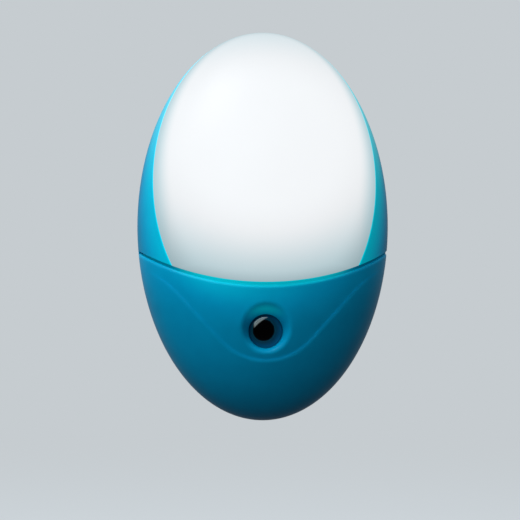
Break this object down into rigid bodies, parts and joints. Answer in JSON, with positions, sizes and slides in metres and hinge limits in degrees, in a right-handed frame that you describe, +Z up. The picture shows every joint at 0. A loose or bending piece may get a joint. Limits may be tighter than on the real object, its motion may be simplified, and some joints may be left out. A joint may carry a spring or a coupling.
{
  "type": "plug-in night light",
  "caption": "Egg-shaped plug-in night light with an opal dome, a scooped cover with a dusk sensor in a dished bore, and a two-pin plug that swivels a quarter turn.",
  "frame": {"origin": "middle of the plug's face, between the two pins, where they leave it", "axes": "+Y along the pins into the socket, so the light faces -Y; +Z up; +X to the viewer's right"},
  "size_m": [0.064, 0.071, 0.099],
  "materials": {
    "housing_blue": "glossy teal-blue",
    "opal_white": "satin opal, lit from inside",
    "tray_white": "matt white",
    "lens_black": "glossy smoked black",
    "holder_black": "matt black",
    "photocell_body": "glazed orange-brown",
    "plug_blue": "glossy teal-blue",
    "nickel_pins": "bright nickel plate",
    "sleeve_black": "satin black",
    "contact_brass": "rolled brass",
    "washer_white": "waxy white",
    "retainer_grey": "matt grey",
    "screw_steel": "zinc plated",
    "board_green": "green solder resist",
    "led_clear": "clear with a pale phosphor tint",
    "capacitor_red": "dipped dark red",
    "capacitor_sleeve": "dark sleeve",
    "epoxy_black": "moulded epoxy",
    "resistor_body": "beige lacquer",
    "diode_glass": "tinted glass bead"
  },
  "bodies": {
    "plug": {"plug_rotor": "plug_blue", "pin_left": "nickel_pins", "pin_right": "nickel_pins", "sleeve_left": "sleeve_black", "sleeve_right": "sleeve_black", "contact_ring_inner": "contact_brass", "contact_ring_outer": "contact_brass"},
    "housing": {"rear_shell": "housing_blue", "front_cover": "housing_blue", "diffuser": "opal_white", "reflector_tray": "tray_white", "sensor_lens": "lens_black", "sensor_holder": "holder_black", "photocell": "photocell_body", "brush_outer": "contact_brass", "brush_inner": "contact_brass", "friction_washer": "washer_white", "swivel_retainer": "retainer_grey", "retainer_screws": "screw_steel", "case_screws": "screw_steel", "board_screws": "screw_steel", "circuit_board": "board_green", "led_lower_left": "led_clear", "led_lower_right": "led_clear", "led_upper_left": "led_clear", "led_upper_right": "led_clear", "film_capacitor": "capacitor_red", "smoothing_capacitor": "capacitor_sleeve", "bridge_rectifier": "epoxy_black", "switching_transistor": "epoxy_black", "fusible_resistor": "resistor_body", "bleeder_resistor": "resistor_body", "zener_diode": "diode_glass"}
  },
  "joints": [
    {"name": "housing_swivel", "type": "hinge", "parent": "plug", "child": "housing", "pos_m": [0, 0, 0], "axis": [0, 1, 0], "range_deg": [0, 90]}
  ]
}
